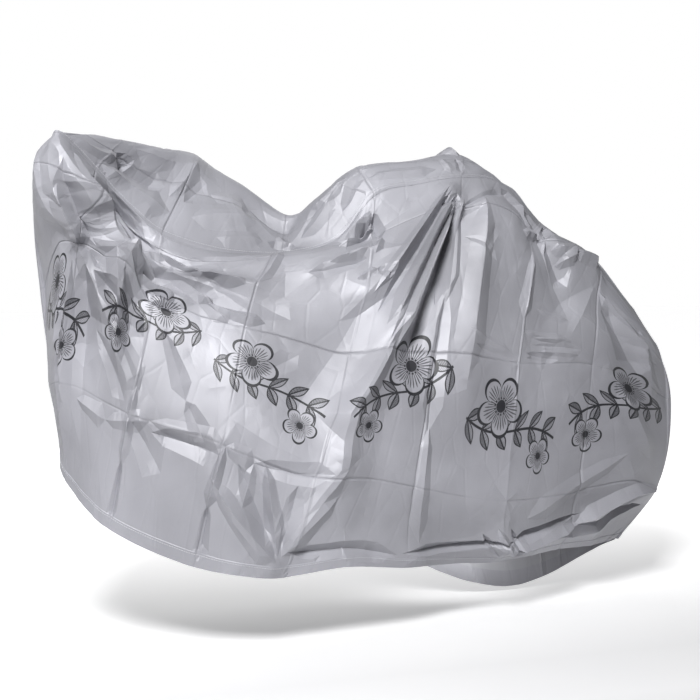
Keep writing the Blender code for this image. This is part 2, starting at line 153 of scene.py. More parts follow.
# %% Curves through the tables
def through(knots, points, at):
    """A smooth curve through points at uneven knots: each span is a cubic whose end slopes are
    the distance-weighted mean of the slopes on the two sides. The points may be one list for
    all places or a list of their own for each place."""
    spans = np.diff(knots)
    widths = spans.reshape(-1, *[1] * (points.ndim - 1))
    slopes = np.diff(points, axis=0) / widths
    tangents = np.empty_like(points)
    before, after = widths[:-1], widths[1:]
    tangents[1:-1] = (slopes[:-1] * after + slopes[1:] * before) / (before + after)
    tangents[0], tangents[-1] = slopes[0], slopes[-1]
    span = np.clip(np.searchsorted(knots, at, side="right") - 1, 0, len(spans) - 1)
    own = (np.arange(len(at)),) if points.ndim == 3 else ()
    width = spans[span][:, None]
    u = (at - knots[span])[:, None] / width
    start = (1 + 2 * u) * (1 - u) ** 2 * points[(span, *own)]
    start += u * (1 - u) ** 2 * width * tangents[(span, *own)]
    end = u * u * (3 - 2 * u) * points[(span + 1, *own)]
    return start + end - u * u * (1 - u) * width * tangents[(span + 1, *own)]


def level_knots(levels):
    return np.array(list(levels.values())) * PANEL_HEIGHT


def far_end(end_section):
    """A shared sewn end, read at the far sheet's own levels."""
    places = np.array([end_section[name] for name in NEAR_LEVELS])
    at_far_levels = through(level_knots(NEAR_LEVELS), places, level_knots(FAR_LEVELS))
    return dict(zip(FAR_LEVELS, at_far_levels), at=end_section["at"])


def plain_sheet(sections, levels, s, t):
    """The sheet without folds at many places: every level is a smooth curve along the sheet, and
    the levels are joined by a smooth curve down it."""
    knots = np.array([row["at"] for row in sections])
    curves = [through(knots, np.array([row[name] for row in sections]), s) for name in levels]
    return through(level_knots(levels), np.stack(curves), t)


def unit(vectors):
    return vectors / np.maximum(np.linalg.norm(vectors, axis=-1, keepdims=True), 1e-9)


def plain_normals(sections, levels, side, s, t):
    """Unit normals of the plain sheet: the cross product of its steps along and down, turned to
    point out on the given side (-1 near, 1 far)."""
    step = 0.001
    run = plain_sheet(sections, levels, s + step, t) - plain_sheet(sections, levels, s - step, t)
    drop = plain_sheet(sections, levels, s, t + step) - plain_sheet(sections, levels, s, t - step)
    return unit(side * np.cross(run, drop))


ALL_FAR = [far_end(FRONT_END), *FAR_SECTIONS, far_end(REAR_END)]
print("sections: near", len(NEAR_SECTIONS), "far", len(ALL_FAR))

# %% [markdown]
# ## The main folds
# Film bends easily but doesn't stretch, so where it hangs from a point it gathers into folds
# that run straight from that point and slowly open out. Each is a soft bell across a line on
# the flat sheet, pushed out along the sheet's own normal. A negative height is a trough.

# %% Main folds
MM = 1000


def on_flat_cut(rows):
    """Rows in millimetres: s and t of the start, s and t of the end, the height along the normal
    (below zero is a trough) and the half width."""
    return [dict(start=(row[0] / MM, row[1] / MM), end=(row[2] / MM, row[3] / MM),
                 height=row[4] / MM, width=row[5] / MM) for row in rows]


NEAR_FOLDS = on_flat_cut([
    # creases that meet in the puckered star below the front peak
    (150, 50, 280, 150, 18, 38), (280, 150, 410, 400, 24, 36), (90, 70, 230, 460, 14, 34),
    (350, 120, 470, 200, -22, 50), (410, 400, 600, 430, 16, 36), (410, 420, 430, 680, 18, 36),
    (300, 450, 330, 760, -18, 45), (480, 220, 640, 200, 14, 34), (640, 200, 780, 280, 14, 34),
    (540, 200, 470, 660, -16, 45),
    # the loose corner beside the middle peak
    (960, 60, 1040, 110, -26, 38), (1040, 170, 930, 210, 18, 32),
    # folds that fan out from the middle peak and run on to the hem
    (1270, 50, 1060, 300, 20, 34), (1290, 100, 1170, 380, 24, 34), (1330, 140, 1240, 460, -24, 38),
    (1180, 380, 1080, 640, 26, 40), (1080, 640, 1100, 780, 11, 40), (1100, 780, 1010, 960, 11, 40),
    (1040, 360, 960, 660, -18, 55), (1380, 120, 1400, 540, 14, 45),
    (1200, 620, 1200, 900, -14, 50),
    # creases that gather at the hem
    (800, 880, 1000, 980, 16, 36), (880, 800, 1000, 950, -18, 38),
    # behind the middle peak, over the rear step and round the rear end
    (1440, 60, 1570, 130, -18, 36), (1600, 130, 1720, 260, -22, 40),
    (1660, 130, 1800, 120, 14, 34), (1880, 220, 1970, 500, -16, 50),
    # the rear hem, rolled under
    (2050, 820, 1910, 920, 16, 34), (1910, 920, 1580, 940, 20, 36), (1580, 940, 1340, 970, 12, 34),
])
FAR_FOLDS = on_flat_cut([
    # drapes below the far front peak
    (520, 340, 500, 840, 24, 45), (420, 300, 360, 860, -22, 50), (610, 300, 670, 880, -24, 50),
    (280, 300, 220, 800, 18, 45),
    # the creased slope above the sewn edge
    (570, 60, 720, 110, 16, 34), (510, 110, 540, 170, 12, 34), (710, 130, 800, 140, -16, 34),
    (900, 140, 1000, 120, 10, 34),
    # folds that fan out from the middle peak
    (1280, 280, 1120, 740, 22, 42), (1340, 280, 1350, 800, -20, 45),
    (1400, 280, 1580, 700, 20, 42), (1000, 320, 860, 840, 20, 50),
    # round the rear end and along the hem
    (1740, 280, 1800, 760, -16, 50), (1930, 320, 1960, 620, 14, 45),
    (1240, 900, 1820, 920, 16, 38),
])


def along_and_aside(fold, s, t):
    """For every place: how far it lies along the fold's line, as a share of its length, how
    far aside of it, and how far past its nearer end. These are dot products with the line's
    direction and with the direction square to it."""
    start, end = np.array(fold["start"]), np.array(fold["end"])
    length = np.linalg.norm(end - start)
    run = (end - start) / length
    share = ((s - start[0]) * run[0] + (t - start[1]) * run[1]) / length
    aside = -(s - start[0]) * run[1] + (t - start[1]) * run[0]
    beyond = np.maximum(np.maximum(-share, share - 1), 0) * length
    return share, aside, beyond


def bell_lift(folds, s, t):
    """Each fold is height times a bell of the distance from its line."""
    lift = np.zeros_like(s)
    for fold in folds:
        share, aside, beyond = along_and_aside(fold, s, t)
        lift += fold["height"] * np.exp(-(aside ** 2 + beyond ** 2) / fold["width"] ** 2)
    return lift


print("main folds: near", len(NEAR_FOLDS), "far", len(FAR_FOLDS))

# %% [markdown]
# ## Sharp creases
# Between the soft folds the film has creases with a crisp line and flat flanks. A bell would
# look like cloth. A crease is better as a long flat roof that opens out along its line: it has
# a kink on the line and one at the foot of each flank, and the light changes there at once.

# %% Sharp creases
NEAR_CREASES = on_flat_cut([
    # from the front peak down to the puckered star
    (190, 30, 270, 140, 4, 10), (270, 140, 400, 430, 6, 12), (120, 40, 200, 240, 6, 14),
    (180, 160, 260, 500, 9, 20), (170, 80, 330, 440, -9, 22), (250, 460, 410, 650, 10, 24),
    (400, 630, 540, 750, 5, 20), (300, 60, 440, 380, -14, 20), (330, 530, 520, 620, -12, 24),
    (380, 420, 570, 310, 8, 13), (560, 310, 690, 410, 8, 13), (670, 410, 840, 430, 6, 12),
    (490, 220, 700, 360, -8, 18), (380, 420, 480, 410, 8, 12), (480, 410, 580, 450, 7, 12),
    (380, 420, 520, 500, 7, 14), (520, 500, 600, 470, -4, 10), (380, 420, 420, 600, 7, 16),
    (380, 420, 330, 520, -5, 18),
    # the broad blade of film down the left side
    (300, 520, 330, 760, -7, 30), (410, 660, 600, 840, 4, 22), (240, 520, 280, 970, 6, 16),
    (320, 820, 440, 830, 4, 10), (440, 830, 590, 800, 4, 10), (530, 740, 530, 900, 4, 9),
    (530, 880, 530, 990, -4, 8), (360, 670, 500, 780, -4, 14), (570, 570, 670, 740, 4, 12),
    (670, 740, 740, 810, -4, 12), (590, 800, 800, 800, 5, 10), (600, 820, 790, 820, -6, 12),
    (800, 800, 880, 810, 5, 10), (880, 810, 1090, 790, -5, 12), (830, 630, 940, 500, -3, 14),
    (190, 620, 210, 730, 5, 12), (210, 730, 260, 880, -5, 14), (520, 800, 650, 880, -5, 16),
    # the diagonal below the sag
    (480, 230, 530, 140, 5, 10), (530, 140, 630, 200, 6, 12), (630, 200, 760, 280, 7, 14),
    (560, 180, 450, 620, -6, 24), (640, 380, 740, 460, 5, 14), (600, 100, 760, 90, -4, 12),
    (660, 260, 900, 400, -4, 24), (810, 80, 790, 270, 4, 10),
    # the dark pocket and the loose corner beside the middle peak
    (940, 30, 1050, 70, 9, 12), (960, 70, 1040, 80, -18, 14), (1060, 90, 940, 110, 8, 10),
    (1050, 50, 1080, 130, -8, 8), (1080, 130, 1060, 190, 6, 8), (940, 190, 1040, 170, 5, 10),
    (1040, 200, 900, 220, -6, 14), (1020, 260, 1070, 240, 4, 8), (1070, 240, 1120, 270, -5, 10),
    # folds that fan out from the middle peak
    (1270, 40, 1070, 310, 7, 10), (1280, 50, 1100, 360, -6, 10), (1290, 70, 1130, 400, 8, 11),
    (1290, 100, 1150, 440, -7, 10), (1300, 110, 1180, 460, 9, 12), (1300, 140, 1240, 460, -7, 12),
    (1300, 80, 1290, 360, -9, 14), (1315, 60, 1315, 360, 8, 10), (1170, 440, 1100, 620, 5, 18),
    (1100, 620, 1120, 780, 4, 18), (1120, 780, 1020, 960, 4, 18), (1240, 90, 1310, 90, -8, 10),
    (1315, 320, 1325, 660, -5, 12), (1325, 640, 1340, 940, 4, 12), (1380, 80, 1400, 520, 5, 20),
    (1320, 110, 1450, 50, -3, 8),
    # the puckered star at the hem
    (780, 860, 1010, 970, 8, 12), (840, 820, 1010, 960, -6, 14), (910, 800, 1010, 960, 8, 12),
    (1010, 820, 1020, 960, -5, 16), (1120, 840, 1020, 960, 4, 14), (800, 800, 790, 910, 6, 9),
    (790, 900, 800, 990, -5, 9), (880, 810, 880, 890, 4, 10), (1030, 950, 1290, 970, -7, 10),
    # behind the middle peak and over the rear step
    (1440, 30, 1500, 70, -7, 10), (1500, 70, 1620, 120, -9, 12), (1620, 120, 1730, 220, -9, 14),
    (1460, 50, 1600, 130, 6, 10), (1520, 140, 1610, 110, 5, 8), (1590, 60, 1630, 110, -6, 10),
    (1650, 140, 1740, 130, 7, 10), (1680, 170, 1740, 140, 6, 10), (1730, 140, 1820, 110, 7, 12),
    (1580, 160, 1570, 340, 4, 12), (1570, 370, 1740, 390, 3, 7), (1600, 430, 1720, 450, -3, 7),
    # round the rear end
    (1860, 180, 1990, 440, -8, 26), (1840, 190, 2000, 300, 6, 18), (1970, 200, 2040, 520, 5, 18),
    (1920, 500, 2040, 720, 4, 20),
    # the rear hem, rolled under
    (2090, 780, 1840, 905, 12, 11), (1860, 900, 1580, 945, 11, 10), (1860, 875, 1600, 915, -8, 7),
    (1620, 915, 1300, 965, -7, 7), (2060, 860, 1800, 945, -13, 12), (1820, 940, 1600, 972, -11, 9),
    (1960, 720, 1660, 860, 4, 16), (1560, 880, 1600, 970, 5, 7), (1600, 880, 1630, 970, -5, 6),
    (1520, 900, 1565, 970, -4, 6),
    # fine wrinkles along the packing crease below the rear step
    (1380, 405, 1540, 435, 1.6, 5), (1400, 435, 1570, 452, -1.8, 5),
    (1620, 385, 1760, 395, 1.8, 5), (1620, 405, 1800, 418, -1.6, 5),
    (1640, 425, 1790, 436, 1.8, 5), (1600, 442, 1700, 455, -1.6, 5),
    (1340, 200, 1440, 245, -1.4, 6), (1620, 300, 1740, 325, 1.6, 6),
])
FAR_CREASES = on_flat_cut([
    # the creased slope above the sewn edge, from the front peak to the sag
    (160, 20, 300, 100, 5, 14), (260, 30, 520, 50, 8, 18), (280, 120, 360, 90, -6, 16),
    (300, 80, 480, 100, -6, 14), (500, 80, 540, 170, 5, 14), (540, 80, 580, 140, -4, 14),
    (570, 50, 720, 100, 4, 16), (600, 120, 700, 130, 3, 12), (640, 30, 740, 50, 2.5, 12),
    (700, 140, 820, 130, -4, 16), (770, 80, 800, 50, 2, 8), (750, 50, 820, 30, -6, 10),
    (320, 170, 620, 150, 4, 20),
    # up to the middle peak
    (840, 60, 980, 120, 5, 14), (900, 140, 1020, 120, 5, 12), (970, 50, 1050, 100, -4, 12),
    (1050, 60, 1240, 50, 4, 14), (1290, 120, 1310, 20, -2, 6), (1250, 130, 1280, 20, 1.5, 6),
    (1300, 140, 1220, 340, 8, 18), (1360, 140, 1420, 400, -7, 18), (1280, 220, 1300, 600, -7, 20),
    # down the slope behind the middle peak
    (1440, 50, 1600, 50, 5, 12), (1500, 100, 1660, 70, -5, 12), (1620, 40, 1780, 70, 6, 12),
    (1800, 50, 1950, 100, -5, 16),
    # the far side
    (500, 240, 440, 700, 8, 20), (540, 260, 580, 860, -7, 22), (300, 220, 240, 600, 7, 20),
    (1020, 240, 900, 600, 7, 20), (1200, 460, 1060, 900, 8, 22), (1460, 300, 1620, 820, 7, 22),
    (800, 300, 740, 840, -5, 22), (1840, 260, 1900, 800, 6, 22), (1240, 930, 1800, 940, -7, 12),
])
ROOF_WIDTH = 1.9
ROOF_HEIGHT = 2.2
TAPER_RATE = 5


def end_taper(share):
    """Nothing at both ends of a line and one from a fifth of its length inwards."""
    return np.clip(np.minimum(share, 1 - share) * TAPER_RATE, 0, 1)


def roof_reach(crease, share):
    """How far each flank of a crease reaches aside: it grows evenly along the line, and comes to
    a point at both ends."""
    return ROOF_WIDTH * crease["width"] * (0.6 + 0.8 * np.clip(share, 0, 1)) * end_taper(share)


def crease_lift(creases, s, t):
    """Each crease is a roof with flat flanks: height times a straight fall from its line to
    nothing at its reach."""
    lift = np.zeros_like(s)
    for crease in creases:
        share, aside, beyond = along_and_aside(crease, s, t)
        reach = np.maximum(roof_reach(crease, share), 1e-6)
        flank = np.maximum(1 - np.abs(aside) / reach, 0)
        lift += ROOF_HEIGHT * crease["height"] * end_taper(share) * flank
    return lift


print("sharp creases: near", len(NEAR_CREASES), "far", len(FAR_CREASES))

# %% [markdown]
# ## The packing creases
# New film comes out of its bag with the grid it was folded to. Each crease is a thin ridge or
# a thin groove, and the oblongs between them stand like the leaves of a half opened map.
# Heights joined by straight lines give the leaves, and a narrow roof on each line gives the
# pressed edge.

# %% Packing creases
COLUMN = PANEL_LENGTH / 8
PACKING_ALONG = [COLUMN * k for k in range(1, 8)]
PACKING_ACROSS = [0.115, 0.46, 0.80]
LEAVES_HIGH = [0, 0.004, 0.006, 0.010, -0.014, 0.004, 0.016, -0.012, 0]
LEAVES_LOW = [0, 0.002, -0.008, 0.014, -0.018, 0.000, 0.018, -0.014, 0]
LEAF_DOWN = 0.0090
PRESSED_HEIGHT = 0.0022
PRESSED_REACH = 0.0050
RAYS_AT_CROSSING = 5
RAY_REACH, RAY_HEIGHT, RAY_WIDTH = (0.03, 0.08), (0.0003, 0.0008), 0.007
STRAYS = 100
STRAY_LOWEST = 0.98
STRAY_REACH, STRAY_HEIGHT, STRAY_WIDTH = (0.03, 0.12), (0.0003, 0.0007), (0.005, 0.012)


def packing_lift(share_of_far, s, t):
    """One row of leaves for the upper half and one for the lower, with the row between them a
    mixture, a triangle wave down the sheet, and a narrow roof on every pressed line, out and
    in by turns. The far sheet has the same leaves the other way out."""
    columns = np.linspace(0, PANEL_LENGTH, len(LEAVES_HIGH))
    high, low = np.interp(s, columns, LEAVES_HIGH), np.interp(s, columns, LEAVES_LOW)
    lift = (high + (low - high) * np.interp(t, PACKING_ACROSS[1:], [0, 1]))
    lift *= (1 - 2 * share_of_far) * np.interp(t, [0, PACKING_ACROSS[0]], [0.2, 1])
    knots = np.array([0, *PACKING_ACROSS, PANEL_HEIGHT])
    lift += LEAF_DOWN * np.interp(t, knots, [0, 1, -1, 1, -0.4])
    for number, place in enumerate(PACKING_ALONG):
        out = 1 if (number + share_of_far) % 2 else -1
        faint = 0.65 + 0.35 * np.sin(9 * t + 2.1 * number)
        roof = np.maximum(1 - np.abs(s - place) / PRESSED_REACH, 0)
        lift += out * PRESSED_HEIGHT * faint * roof
    for number, place in enumerate(PACKING_ACROSS):
        faint = 0.6 + 0.4 * np.sin(5 * s + 1.7 * number)
        lift -= PRESSED_HEIGHT * faint * np.maximum(1 - np.abs(t - place) / PRESSED_REACH, 0)
    return lift


def crossing_creases(seed):
    """Short random creases that ray out from each crossing of the packing grid."""
    draw = np.random.default_rng(seed)
    rays = []
    for place in PACKING_ALONG:
        for level in PACKING_ACROSS:
            for turn in draw.uniform(0, 2 * np.pi, RAYS_AT_CROSSING):
                reach = draw.uniform(*RAY_REACH)
                tip = (place + reach * np.cos(turn), level + reach * np.sin(turn))
                height = draw.choice([-1, 1]) * draw.uniform(*RAY_HEIGHT)
                rays.append(dict(start=(place, level), end=tip, height=height,
                                 width=RAY_WIDTH))
    return rays


def stray_creases(seed):
    """Short random creases all over the sheet, most of them near its sewn edge."""
    draw = np.random.default_rng(seed)
    strays = []
    for _ in range(STRAYS):
        start = np.array([draw.uniform(0, PANEL_LENGTH), STRAY_LOWEST * draw.beta(1.0, 2.2)])
        turn, reach = draw.uniform(0, np.pi), draw.uniform(*STRAY_REACH)
        end = start + reach * np.array([np.cos(turn), np.sin(turn)])
        height = draw.choice([-1, 1]) * draw.uniform(*STRAY_HEIGHT)
        width = draw.uniform(*STRAY_WIDTH)
        strays.append(dict(start=tuple(start), end=tuple(end), height=height, width=width))
    return strays


print("packing grid:", len(PACKING_ALONG), "by", len(PACKING_ACROSS), "lines")

# %% [markdown]
# ## Crumple
# Handled film is never smooth between its creases: it breaks up into small flat facets. Noise
# would give soft lumps. Random points on the hanging sheet, each a little out of place and all
# joined into flat triangles, give what crumpled film is: flat pieces that meet at sharp edges.

# %% Crumple
FACET_SPACING = (0.075, 0.110)
FACET_JITTER = 0.42
FACET_SHARE = 0.50
FACET_HEIGHT = 0.0013
BROAD_HEIGHT = 0.0045
CROWN_LINE = dict(start=(0.10, 0.19), end=(1.96, 0.20))
CROWN_FILL = dict(start=(0.26, 0.20), end=(0.50, 0.20), height=0.016, width=0.060)


def stepped(start, end, step):
    """Even places along a straight line."""
    count = max(int(np.ceil(np.linalg.norm(np.subtract(end, start)) / step)), 1)
    return np.linspace(start, end, count + 1)


def facet_net(seed, folds):
    """Points along the line of every main fold, and random points elsewhere, one in each cell of
    a jittered lattice and the outer ones on the sheet's edges, joined into triangles that have
    the folds' lines as edges."""
    draw = np.random.default_rng(seed)
    ridges = [stepped(fold["start"], fold["end"], FACET_SPACING[0]) for fold in folds]
    edges, count = [], 0
    for ridge in ridges:
        edges += [(count + k, count + k + 1) for k in range(len(ridge) - 1)]
        count += len(ridge)
    ridges = np.concatenate(ridges)
    lattice = np.meshgrid(
        np.arange(-FACET_SPACING[0], PANEL_LENGTH + 2 * FACET_SPACING[0], FACET_SPACING[0]),
        np.arange(-FACET_SPACING[1], PANEL_HEIGHT + 2 * FACET_SPACING[1], FACET_SPACING[1]))
    spots = np.stack(lattice, axis=-1).reshape(-1, 2)
    spots = spots + draw.uniform(-FACET_JITTER, FACET_JITTER, spots.shape) * FACET_SPACING
    spots = np.clip(spots, 0, [PANEL_LENGTH, PANEL_HEIGHT])
    apart = np.linalg.norm(spots[:, None] - ridges[None], axis=2).min(axis=1)
    corners = [[0, 0], [PANEL_LENGTH, 0], [0, PANEL_HEIGHT], [PANEL_LENGTH, PANEL_HEIGHT]]
    spots = np.concatenate([ridges, spots[apart > 0.5 * FACET_SPACING[0]], corners])
    found = delaunay_2d_cdt([Vector(spot) for spot in spots], edges, [], 0, 1e-5)
    return np.array([tuple(place) for place in found[0]]), np.array(found[2])


def between(net, values, s, t):
    """The value at a place is the weighted mean of its triangle's three corner values. The
    weights are the shares of area that the place cuts off opposite each corner."""
    places, triangles = net
    result = np.zeros((len(s), values.shape[1]))
    order = np.argsort(s)
    in_order = s[order]
    for corners in triangles:
        (s0, t0), (s1, t1), (s2, t2) = places[corners]
        area = (s1 - s0) * (t2 - t0) - (s2 - s0) * (t1 - t0)
        if abs(area) < 1e-9:
            continue
        first, last = np.searchsorted(in_order, [min(s0, s1, s2) - 1e-6, max(s0, s1, s2) + 1e-6])
        here = order[first:last]
        second = ((s[here] - s0) * (t2 - t0) - (s2 - s0) * (t[here] - t0)) / area
        third = ((s1 - s0) * (t[here] - t0) - (s[here] - s0) * (t1 - t0)) / area
        inside = np.minimum(np.minimum(1 - second - third, second), third) >= -1e-5
        shares = np.stack([1 - second - third, second, third], axis=1)[inside]
        result[here[inside]] = shares @ values[corners]
    return result


def calmness(s, t, side):
    """The film is pulled tight over the middle peak and over the far sheet's crown, so its finer
    lifts fade there. Both are bells."""
    over_peak = np.exp(-((s - 1.30) / 0.10) ** 2 - ((t - 0.06 - 0.06 * (side > 0)) / 0.09) ** 2)
    over_crown = (side > 0) * np.exp(-((t - 0.20) / 0.06) ** 2)
    return 1 - 0.8 * np.maximum(over_peak, over_crown)


def busyness(t):
    """Crumple is strongest near the sewn edge and picks up again at the hem."""
    return 0.5 + 0.6 * np.exp(-t / 0.16) + 0.4 * np.exp(-(1 - t) / 0.08)


print("facets of the near sheet:", len(facet_net(20, NEAR_FOLDS)[1]))

# %% [markdown]
# ## The flat cut as a mesh
# An even grid would cut across every slanting crease and turn its crisp edge into a saw. So the
# lines come first: each crease, the feet of its flanks, the facets' edges, the packing grid,
# the lap and the hem are laid on the flat cut, and triangles are fitted between them.

# %% Lines on the flat cut
HEM_HEIGHT = 0.022
LAP_NEAR = 0.006
LAP_FAR = 0.012
SEAM_STITCH = 0.009
HEM_STITCH = PANEL_HEIGHT - HEM_HEIGHT + 0.003
LINE_STEP = 0.0095
FILL_STEP = 0.0105
FILL_JITTER = 0.25
EDGE_STEP = 0.008
BAND_ROWS = [0.003, LAP_NEAR, LAP_NEAR + 0.0006, SEAM_STITCH, LAP_FAR, LAP_FAR + 0.0006]
HEM_ROWS = [1 - HEM_HEIGHT - 0.001, 1 - HEM_HEIGHT, HEM_STITCH, 0.990, 0.996]
FREE_LEFT, FREE_TOP, FREE_BOTTOM = 0.018, 0.018, 1 - HEM_HEIGHT - 0.006


def crease_lines(creases):
    """The line of each crease and the feet of its two flanks."""
    lines = []
    for crease in creases:
        start, end = np.array(crease["start"]), np.array(crease["end"])
        run = (end - start) / np.linalg.norm(end - start)
        square = np.array([-run[1], run[0]])
        lines.append(stepped(start, end, LINE_STEP))
        for turn in (-1, 1):
            foot = [start + (end - start) * share + turn * square * roof_reach(crease, share)
                    for share in (0.0, 0.2, 0.8, 1.0)]
            lines += [stepped(first, last, LINE_STEP) for first, last in zip(foot, foot[1:])]
    return lines


def packing_lines():
    lines = []
    for beside in (-PRESSED_REACH, 0.0, PRESSED_REACH):
        lines += [stepped((place + beside, 0), (place + beside, 1), LINE_STEP)
                  for place in PACKING_ALONG]
        lines += [stepped((0, place + beside), (PANEL_LENGTH, place + beside), LINE_STEP)
                  for place in PACKING_ACROSS]
    return lines


def facet_lines(net):
    places, triangles = net
    sides = np.concatenate([triangles[:, [0, 1]], triangles[:, [1, 2]], triangles[:, [2, 0]]])
    return [stepped(places[a], places[b], LINE_STEP)
            for a, b in np.unique(np.sort(sides, axis=1), axis=0)]


def band_lines():
    """The sheet's border and the lines of the lap and the hem, all with the same even places, so
    that the two sheets meet point by point at the sewn edges."""
    wide = stepped((0, 0), (PANEL_LENGTH, 0), EDGE_STEP)[:, 0]
    tall = stepped((0, 0), (0, PANEL_HEIGHT), EDGE_STEP)[:, 1]
    lines = []
    for row in [0.0, *BAND_ROWS, *HEM_ROWS, PANEL_HEIGHT]:
        lines.append(np.stack([wide, np.full_like(wide, row)], axis=1))
    for column in [0.0, *BAND_ROWS]:
        lines.append(np.stack([np.full_like(tall, column), tall], axis=1))
        lines.append(np.stack([np.full_like(tall, PANEL_LENGTH - column), tall], axis=1))
    return lines


def in_the_free(places):
    """True away from the lap and the hem, where the random lines may run."""
    s, t = places[:, 0], places[:, 1]
    return ((s > FREE_LEFT) & (s < PANEL_LENGTH - FREE_LEFT)
            & (t > FREE_TOP) & (t < FREE_BOTTOM))


def flat_mesh(free_lines, seed):
    """Triangles on the flat cut that keep every line as edges. The gaps between the lines are
    filled with points of a jittered lattice, but none in or beside a square of the lattice's
    half step that holds a point of a line."""
    points, edges, count = [], [], 0
    for line in free_lines:
        inside = in_the_free(line)
        step = np.flatnonzero(inside[:-1] & inside[1:])
        points.append(line)
        edges.append(np.stack([step, step + 1], axis=1) + count)
        count += len(line)
    keep = np.concatenate([in_the_free(line) for line in free_lines])
    number = np.cumsum(keep) - 1
    points, edges = [np.concatenate(points)[keep]], [number[np.concatenate(edges)]]
    count = int(keep.sum())
    for line in band_lines():
        points.append(line)
        edges.append(np.stack([np.arange(len(line) - 1), np.arange(1, len(line))], axis=1) + count)
        count += len(line)
    draw = np.random.default_rng(seed)
    fill = np.stack(np.meshgrid(np.arange(0, PANEL_LENGTH, FILL_STEP),
                                np.arange(0, PANEL_HEIGHT, FILL_STEP)), axis=-1).reshape(-1, 2)
    fill = fill + draw.uniform(-FILL_JITTER, FILL_JITTER, fill.shape) * FILL_STEP
    fill = fill[in_the_free(fill)]
    half = FILL_STEP / 2
    taken = np.zeros((int(PANEL_LENGTH / half) + 4, int(PANEL_HEIGHT / half) + 4), dtype=bool)
    cell = (np.concatenate(points) / half).astype(int) + 1
    for aside in (-1, 0, 1):
        for above in (-1, 0, 1):
            taken[cell[:, 0] + aside, cell[:, 1] + above] = True
    cell = (fill / half).astype(int) + 1
    points.append(fill[~taken[cell[:, 0], cell[:, 1]]])
    places = np.concatenate(points)
    found = delaunay_2d_cdt([Vector(place) for place in places],
                            np.concatenate(edges).tolist(), [], 0, 1e-5)
    places = np.round(np.array([tuple(place) for place in found[0]]), 6)
    return places, np.array(found[2])


def row_of(places, level, axis=1):
    """The points on one row of the flat cut in order, or on one column (axis 0)."""
    on = np.flatnonzero(np.abs(places[:, axis] - level) < 1e-5)
    return on[np.argsort(places[on, 1 - axis])]


# %% [markdown]
# ## Both sheets, sewn
# Every lift is a height above the same plain surface, so they are simply added. At the sewn
# edges all of them fade to nothing, and there both sheets take the same points and the same
# normals, which closes the seam without any gap.

# %% Sheets
def hanging(s, t, side, sections, levels, folds, creases, net, seed):
    """Where places of the flat cut hang. The plain sheet with its main folds is partly broken up
    into flat facets and then moved along its normals by the finer lifts."""
    def folded(s, t):
        fade = np.clip(np.minimum(np.minimum(s, PANEL_LENGTH - s), t) / FADE_AT_SEAM, 0, 1)
        plain = plain_sheet(sections, levels, s, t)
        normal = plain_normals(sections, levels, side, s, t)
        return plain + normal * (bell_lift(folds, s, t) * fade)[:, None], normal, fade

    draw = np.random.default_rng(seed)
    corner_s, corner_t = net[0][:, 0], net[0][:, 1]
    corners, corner_normals, _ = folded(corner_s, corner_t)
    broad = np.sin(11 * corner_s + 5 * corner_t + seed) * np.sin(8 * corner_t - 6 * corner_s)
    height = draw.normal(0, FACET_HEIGHT, len(corner_s)) * busyness(corner_t)
    height = (height + BROAD_HEIGHT * broad) * calmness(corner_s, corner_t, side)
    sheet, normal, fade = folded(s, t)
    flat = between(net, corners + corner_normals * height[:, None] / FACET_SHARE, s, t)
    calm = calmness(s, t, side)
    sheet = sheet + (flat - sheet) * (FACET_SHARE * fade * calm)[:, None]
    fine = packing_lift(0 if side < 0 else 1, s, t) * calm
    fine += crease_lift(creases, s, t)
    fine *= np.clip(np.minimum(np.minimum(s, PANEL_LENGTH - s), t) / FINE_FADE_AT_SEAM, 0, 1)
    return sheet + normal * fine[:, None]


def laid_out(side, sections, levels, folds, creases, seed):
    """One sheet: its places on the flat cut, its triangles and where the places hang."""
    small = crossing_creases(seed + 2) + stray_creases(seed + 3)
    net = facet_net(seed, folds + [CROWN_LINE] * (side > 0))
    lines = crease_lines(creases) + packing_lines() + facet_lines(net)
    lines += [stepped(crease["start"], crease["end"], LINE_STEP) for crease in small]
    places, triangles = flat_mesh(lines, seed + 5)
    hangs = hanging(places[:, 0], places[:, 1], side, sections, levels, folds,
                    creases + small, net, seed + 6)
    print("sheet", side, "points:", len(places), "triangles:", len(triangles))
    return places, triangles, hangs


def point_normals(triangles, hangs, side):
    """Unit normals at the points: the sum of the normals of the triangles round each, where a
    triangle counts by its area."""
    a, b, c = (hangs[triangles[:, k]] for k in range(3))
    areas = side * np.cross(b - a, c - a)
    total = np.zeros_like(hangs)
    for k in range(3):
        np.add.at(total, triangles[:, k], areas)
    return unit(total)


near_flat, near_triangles, near_hangs = laid_out(
    -1, NEAR_SECTIONS, NEAR_LEVELS, NEAR_FOLDS, NEAR_CREASES, 20)
far_flat, far_triangles, far_hangs = laid_out(
    1, ALL_FAR, FAR_LEVELS, FAR_FOLDS + [CROWN_FILL], FAR_CREASES, 40)

# %% Sew the edges
near_sewn = np.concatenate([row_of(near_flat, 0.0), row_of(near_flat, 0.0, 0)[1:],
                            row_of(near_flat, PANEL_LENGTH, 0)[1:]])
far_sewn = np.concatenate([row_of(far_flat, 0.0), row_of(far_flat, 0.0, 0)[1:],
                           row_of(far_flat, PANEL_LENGTH, 0)[1:]])
print("sewn points:", len(near_sewn), "and", len(far_sewn), "apart before sewing:",
      round(float(np.abs(near_hangs[near_sewn] - far_hangs[far_sewn]).max()), 4))
far_hangs[far_sewn] = near_hangs[near_sewn]
near_normals = point_normals(near_triangles, near_hangs, -1)
far_normals = point_normals(far_triangles, far_hangs, 1)
shared = unit(near_normals[near_sewn] + far_normals[far_sewn])
near_normals[near_sewn] = shared
far_normals[far_sewn] = shared

